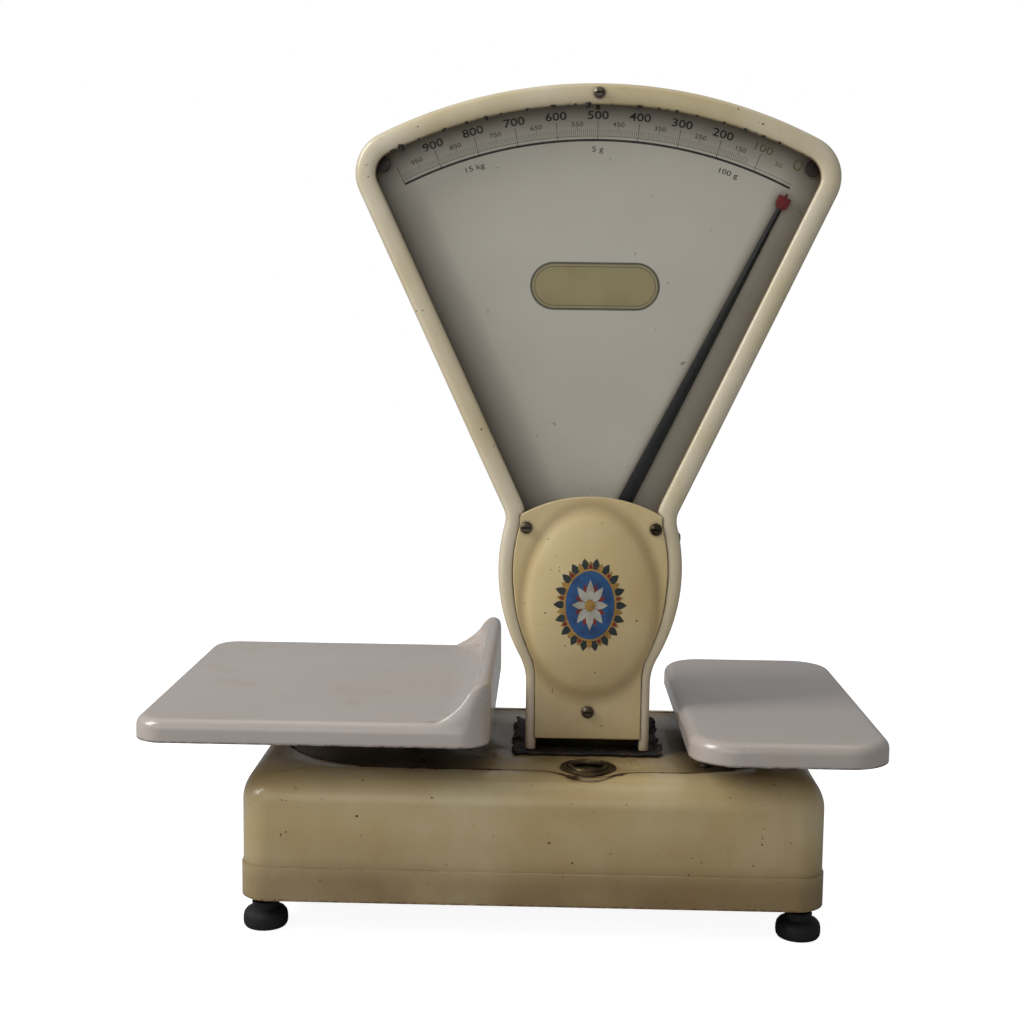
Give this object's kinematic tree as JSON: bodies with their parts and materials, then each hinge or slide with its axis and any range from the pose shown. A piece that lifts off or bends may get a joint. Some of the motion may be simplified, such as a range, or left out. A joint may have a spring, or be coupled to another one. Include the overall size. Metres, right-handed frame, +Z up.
{
  "type": "fan-head counter scale",
  "caption": "Counter scale with a fan-shaped dial head on a low base, a pointer, and enamelled goods and weights platters on an enclosed beam.",
  "frame": {"origin": "on the surface that the scale stands on, below the middle of its outline seen from above", "axes": "+X to the right and +Y to the back, seen from the front of the dial; +Z up"},
  "size_m": [0.561, 0.315, 0.641],
  "materials": {
    "cream_paint": "gloss",
    "base_paint": "gloss",
    "enamel": "gloss",
    "black_iron": "satin",
    "steel": "satin",
    "screw_steel": "satin",
    "rubber": "matt",
    "dial_print": "satin",
    "glass": "clear",
    "pointer_black": "satin",
    "lead": "matt",
    "brass": "satin",
    "level_fluid": "gloss"
  },
  "bodies": {
    "frame": {"base_frame": "black_iron", "base_shell": "base_paint", "deck_plate": "base_paint", "deck_screws": "screw_steel", "level_ring": "brass", "level_glass": "level_fluid", "column_gasket": "rubber", "head_case": "cream_paint", "front_rim": "cream_paint", "rear_rim": "cream_paint", "front_glass": "glass", "rear_glass": "glass", "front_dial": "dial_print", "rear_dial": "dial_print", "dial_buttons": "rubber", "front_cover": "cream_paint", "rear_cover": "cream_paint", "cover_screws": "screw_steel", "rim_screws": "screw_steel", "side_screw": "screw_steel", "bearing_brackets": "steel", "shaft_bearings": "brass", "beam_pin": "steel", "link_pin": "steel", "damper_cylinder": "steel", "damper_cap": "steel"},
    "foot_front_left": {"foot_pad_front_left": "rubber", "foot_stud_front_left": "steel"},
    "foot_front_right": {"foot_pad_front_right": "rubber", "foot_stud_front_right": "steel"},
    "foot_rear_left": {"foot_pad_rear_left": "rubber", "foot_stud_rear_left": "steel"},
    "foot_rear_right": {"foot_pad_rear_right": "rubber", "foot_stud_rear_right": "steel"},
    "pointer": {"pointer_shaft": "steel", "front_pointer": "pointer_black", "rear_pointer": "pointer_black", "pendulum_arm": "steel", "pendulum_weight": "black_iron"},
    "beam": {"beam": "black_iron", "rod_pin": "steel"},
    "check_link": {"check_link": "black_iron"},
    "pull_rod": {"pull_rod": "steel"},
    "goods_leg": {"goods_leg": "black_iron", "goods_knife_pin": "steel", "goods_link_pin": "steel", "goods_spider": "black_iron", "goods_pads": "rubber", "goods_platter": "enamel"},
    "weights_leg": {"weights_leg": "black_iron", "weights_knife_pin": "steel", "weights_link_pin": "steel", "balance_weight": "lead", "weights_spider": "black_iron", "weights_pads": "rubber", "weights_platter": "enamel"},
    "damper_piston": {"damper_piston": "steel"}
  },
  "joints": [
    {"name": "beam_tilt", "type": "hinge", "parent": "frame", "child": "beam", "pos_m": [0.0595, -0.0075, 0.092], "axis": [0, -1, 0], "range_deg": [0, 5]},
    {"name": "goods_leg_pivot", "type": "hinge", "parent": "beam", "child": "goods_leg", "pos_m": [-0.0855, -0.0075, 0.092], "axis": [0, -1, 0], "range_deg": [-5, 0]},
    {"name": "weights_leg_pivot", "type": "hinge", "parent": "beam", "child": "weights_leg", "pos_m": [0.2045, -0.0075, 0.092], "axis": [0, -1, 0], "range_deg": [-5, 0]},
    {"name": "rod_pivot", "type": "hinge", "parent": "beam", "child": "pull_rod", "pos_m": [0.0135, -0.0075, 0.092], "axis": [0, -1, 0], "range_deg": [-5, 0]},
    {"name": "link_tilt", "type": "hinge", "parent": "frame", "child": "check_link", "pos_m": [0.0595, -0.0075, 0.052], "axis": [0, -1, 0], "range_deg": [0, 5]},
    {"name": "pointer_turn", "type": "hinge", "parent": "frame", "child": "pointer", "pos_m": [0.0595, -0.0075, 0.268], "axis": [0, -1, 0], "range_deg": [0, 53]},
    {"name": "damper_slide", "type": "slide", "parent": "frame", "child": "damper_piston", "axis": [0, 0, 1], "range_m": [0, 0.00646]},
    {"name": "foot_front_left_turn", "type": "hinge", "parent": "frame", "child": "foot_front_left", "pos_m": [-0.1855, -0.1115, 0.01], "axis": [0, 0, 1], "range_deg": [-360, 360]},
    {"name": "foot_front_right_turn", "type": "hinge", "parent": "frame", "child": "foot_front_right", "pos_m": [0.2205, -0.1115, 0.01], "axis": [0, 0, 1], "range_deg": [-360, 360]},
    {"name": "foot_rear_left_turn", "type": "hinge", "parent": "frame", "child": "foot_rear_left", "pos_m": [-0.1855, 0.0965, 0.01], "axis": [0, 0, 1], "range_deg": [-360, 360]},
    {"name": "foot_rear_right_turn", "type": "hinge", "parent": "frame", "child": "foot_rear_right", "pos_m": [0.2205, 0.0965, 0.01], "axis": [0, 0, 1], "range_deg": [-360, 360]}
  ],
  "couplings": [
    {"joint": "goods_leg_pivot", "follows": "beam_tilt", "ratio": -1},
    {"joint": "weights_leg_pivot", "follows": "beam_tilt", "ratio": -1},
    {"joint": "rod_pivot", "follows": "beam_tilt", "ratio": -1},
    {"joint": "link_tilt", "follows": "beam_tilt", "ratio": 1},
    {"joint": "pointer_turn", "follows": "beam_tilt", "ratio": 10.6},
    {"joint": "damper_slide", "follows": "beam_tilt", "m_per_rad": 0.074}
  ]
}
